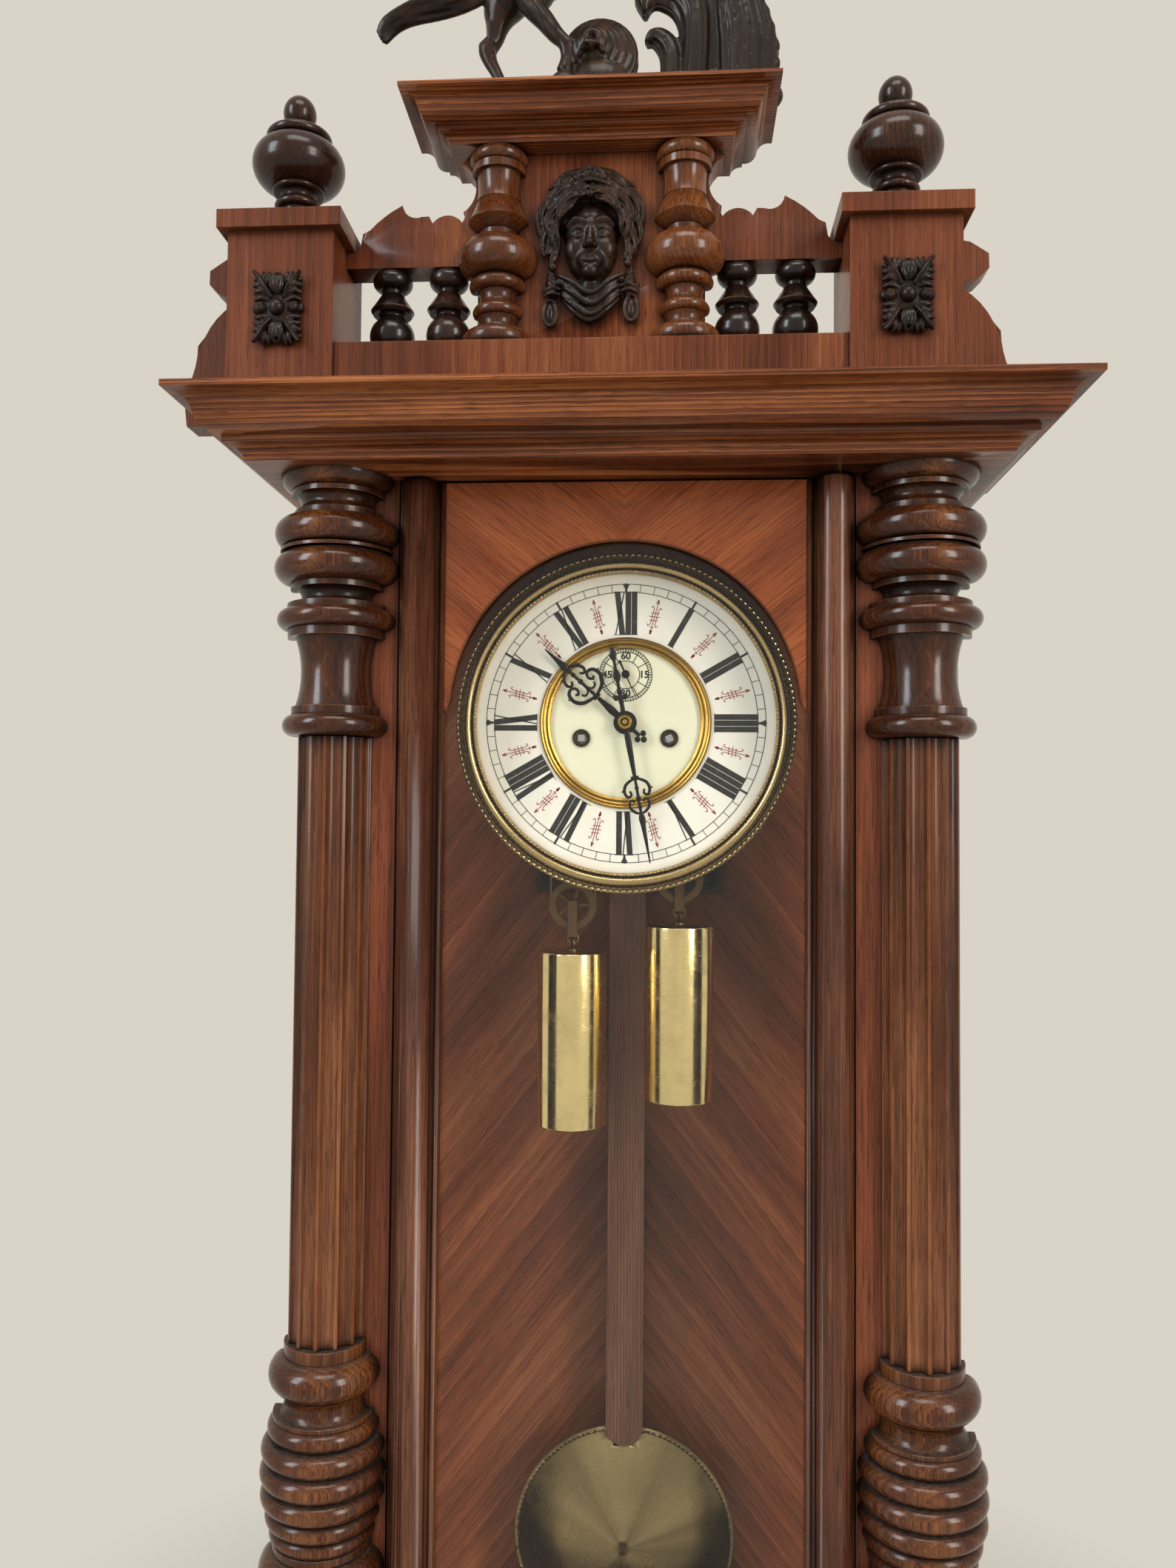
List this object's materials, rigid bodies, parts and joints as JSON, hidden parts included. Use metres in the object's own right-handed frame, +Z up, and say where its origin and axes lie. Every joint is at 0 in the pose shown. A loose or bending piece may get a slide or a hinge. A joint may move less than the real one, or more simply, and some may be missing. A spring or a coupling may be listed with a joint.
{
  "type": "vienna regulator clock",
  "caption": "Wall clock in a glazed walnut case with turned columns, a carved crest, enamel dial, two weights on pulleys and a wooden rod pendulum.",
  "frame": {"origin": "middle of the hanger hole on the wall side of the back board", "axes": "+Z up, +Y into the wall, -Y towards the viewer, +X to the right as seen from the front"},
  "size_m": [0.5034, 0.2305, 1.3016],
  "materials": {
    "case_wood": "dark polished walnut",
    "crest_wood": "red brown polished walnut veneer",
    "door_wood": "red brown polished walnut",
    "turned_wood": "dark turned walnut, polish worn on the high rings",
    "ebonised_wood": "carved and blackened",
    "rod_wood": "varnished pine",
    "glass": "clear old glass",
    "brass": "polished and lacquered brass",
    "steel": "polished steel",
    "blackened_steel": "blackened steel",
    "iron": "dark iron",
    "enamel": "glossy cream enamel",
    "gut": "twisted gut line"
  },
  "bodies": {
    "case": {"back_board": "case_wood", "side_left": "case_wood", "side_right": "case_wood", "side_glasses": "glass", "front_stiles": "case_wood", "floor_board": "case_wood", "cornice": "case_wood", "base_moulding": "case_wood", "column_left": "turned_wood", "column_right": "turned_wood", "hanger_plate": "iron", "lower_bracket": "case_wood", "drop_finials": "turned_wood", "crest_board": "crest_wood", "crest_posts": "crest_wood", "crest_columns": "turned_wood", "crest_balusters": "ebonised_wood", "crest_hood": "case_wood", "urn_finials": "crest_wood", "mask": "ebonised_wood", "horse": "ebonised_wood", "case_pivots": "brass", "movement_bracket": "iron", "plate_back": "brass", "plate_front": "brass", "pillars": "brass", "gut_leads": "gut", "dial": "enamel", "bezel": "brass", "suspension_cock": "brass", "gong_coil": "steel", "gong_block": "iron"},
    "door": {"door_frame": "door_wood", "door_spandrel": "crest_wood", "door_glass": "glass", "door_pivots": "brass"},
    "pendulum": {"pendulum_rod": "rod_wood", "pendulum_bob": "brass", "rating_nut": "brass"},
    "anchor": {"pallets": "steel"},
    "minute": {"minute_hand": "blackened_steel"},
    "motion_wheel": {"minute_wheel": "brass"},
    "hour": {"hour_wheel": "brass", "hour_hand": "blackened_steel"},
    "escape": {"escape_wheel": "brass", "seconds_hand": "blackened_steel"},
    "third": {"third_wheel": "brass"},
    "centre": {"centre_wheel": "brass"},
    "intermediate": {"intermediate_wheel": "brass"},
    "weight_a": {"weight_left": "brass", "gut_line_left": "gut"},
    "weight_b": {"weight_right": "brass", "gut_line_right": "gut"},
    "sheave_a": {"pulley_left": "brass"},
    "sheave_b": {"pulley_right": "brass"},
    "drum_a": {"drum_left": "brass", "gut_coil_left": "gut"},
    "drum_b": {"drum_right": "brass", "gut_coil_right": "gut"},
    "striker": {"hammer": "steel"}
  },
  "joints": [
    {"name": "door_swing", "type": "hinge", "parent": "case", "child": "door", "pos_m": [0.1213, -0.157, -0.4], "axis": [0, 0, 1], "range_deg": [0, 90]},
    {"name": "pendulum_swing", "type": "hinge", "parent": "case", "child": "pendulum", "pos_m": [0, -0.04, -0.101], "axis": [0, 1, 0], "range_deg": [-3, 3]},
    {"name": "anchor_rock", "type": "hinge", "parent": "case", "child": "anchor", "pos_m": [0, -0.066, -0.101], "axis": [0, 1, 0], "range_deg": [-3, 3]},
    {"name": "minute_turn", "type": "hinge", "parent": "case", "child": "minute", "pos_m": [0, -0.126, -0.15], "axis": [0, 1, 0], "continuous": true},
    {"name": "motion_wheel_turn", "type": "hinge", "parent": "case", "child": "motion_wheel", "pos_m": [0, -0.108, -0.1644], "axis": [0, 1, 0], "continuous": true},
    {"name": "hour_turn", "type": "hinge", "parent": "case", "child": "hour", "pos_m": [0, -0.122, -0.15], "axis": [0, 1, 0], "continuous": true},
    {"name": "seconds_turn", "type": "hinge", "parent": "case", "child": "escape", "pos_m": [0, -0.08, -0.1208], "axis": [0, 1, 0], "continuous": true},
    {"name": "third_turn", "type": "hinge", "parent": "case", "child": "third", "pos_m": [0.0135, -0.08, -0.1327], "axis": [0, 1, 0], "continuous": true},
    {"name": "centre_turn", "type": "hinge", "parent": "case", "child": "centre", "pos_m": [0, -0.08, -0.15], "axis": [0, 1, 0], "continuous": true},
    {"name": "intermediate_turn", "type": "hinge", "parent": "case", "child": "intermediate", "pos_m": [-0.00056, -0.08, -0.17119], "axis": [0, 1, 0], "continuous": true},
    {"name": "weight_left_fall", "type": "slide", "parent": "case", "child": "weight_a", "axis": [0, 0, 1], "range_m": [-0.37, 0.025], "deforming": ["gut_line_left"]},
    {"name": "weight_right_fall", "type": "slide", "parent": "case", "child": "weight_b", "axis": [0, 0, 1], "range_m": [-0.385, 0.008], "deforming": ["gut_line_right"]},
    {"name": "pulley_left_turn", "type": "hinge", "parent": "weight_a", "child": "sheave_a", "pos_m": [-0.0335, -0.082, -0.262], "axis": [0, 1, 0], "range_deg": [-1520, 110]},
    {"name": "pulley_right_turn", "type": "hinge", "parent": "weight_b", "child": "sheave_b", "pos_m": [0.0335, -0.082, -0.245], "axis": [0, 1, 0], "range_deg": [-40, 1600]},
    {"name": "drum_left_turn", "type": "hinge", "parent": "case", "child": "drum_a", "pos_m": [-0.0265, -0.08, -0.1592], "axis": [0, 1, 0], "range_deg": [-2030, 140]},
    {"name": "drum_right_turn", "type": "hinge", "parent": "case", "child": "drum_b", "pos_m": [0.0265, -0.08, -0.1592], "axis": [0, 1, 0], "range_deg": [-50, 2120]},
    {"name": "hammer_strike", "type": "hinge", "parent": "case", "child": "striker", "pos_m": [0.04, -0.07, -0.116], "axis": [0, 1, 0], "range_deg": [-8, 1.5]}
  ],
  "couplings": [
    {"joint": "anchor_rock", "follows": "pendulum_swing", "ratio": 1},
    {"joint": "motion_wheel_turn", "follows": "minute_turn", "ratio": -0.33333},
    {"joint": "hour_turn", "follows": "minute_turn", "ratio": 0.083333},
    {"joint": "third_turn", "follows": "seconds_turn", "ratio": -0.125},
    {"joint": "centre_turn", "follows": "seconds_turn", "ratio": 0.0125},
    {"joint": "intermediate_turn", "follows": "seconds_turn", "ratio": -0.0020833},
    {"joint": "drum_left_turn", "follows": "weight_left_fall", "rad_per_m": 95.238},
    {"joint": "pulley_left_turn", "follows": "weight_left_fall", "rad_per_m": 71.429},
    {"joint": "drum_right_turn", "follows": "weight_right_fall", "rad_per_m": -95.238},
    {"joint": "pulley_right_turn", "follows": "weight_right_fall", "rad_per_m": -71.429}
  ]
}
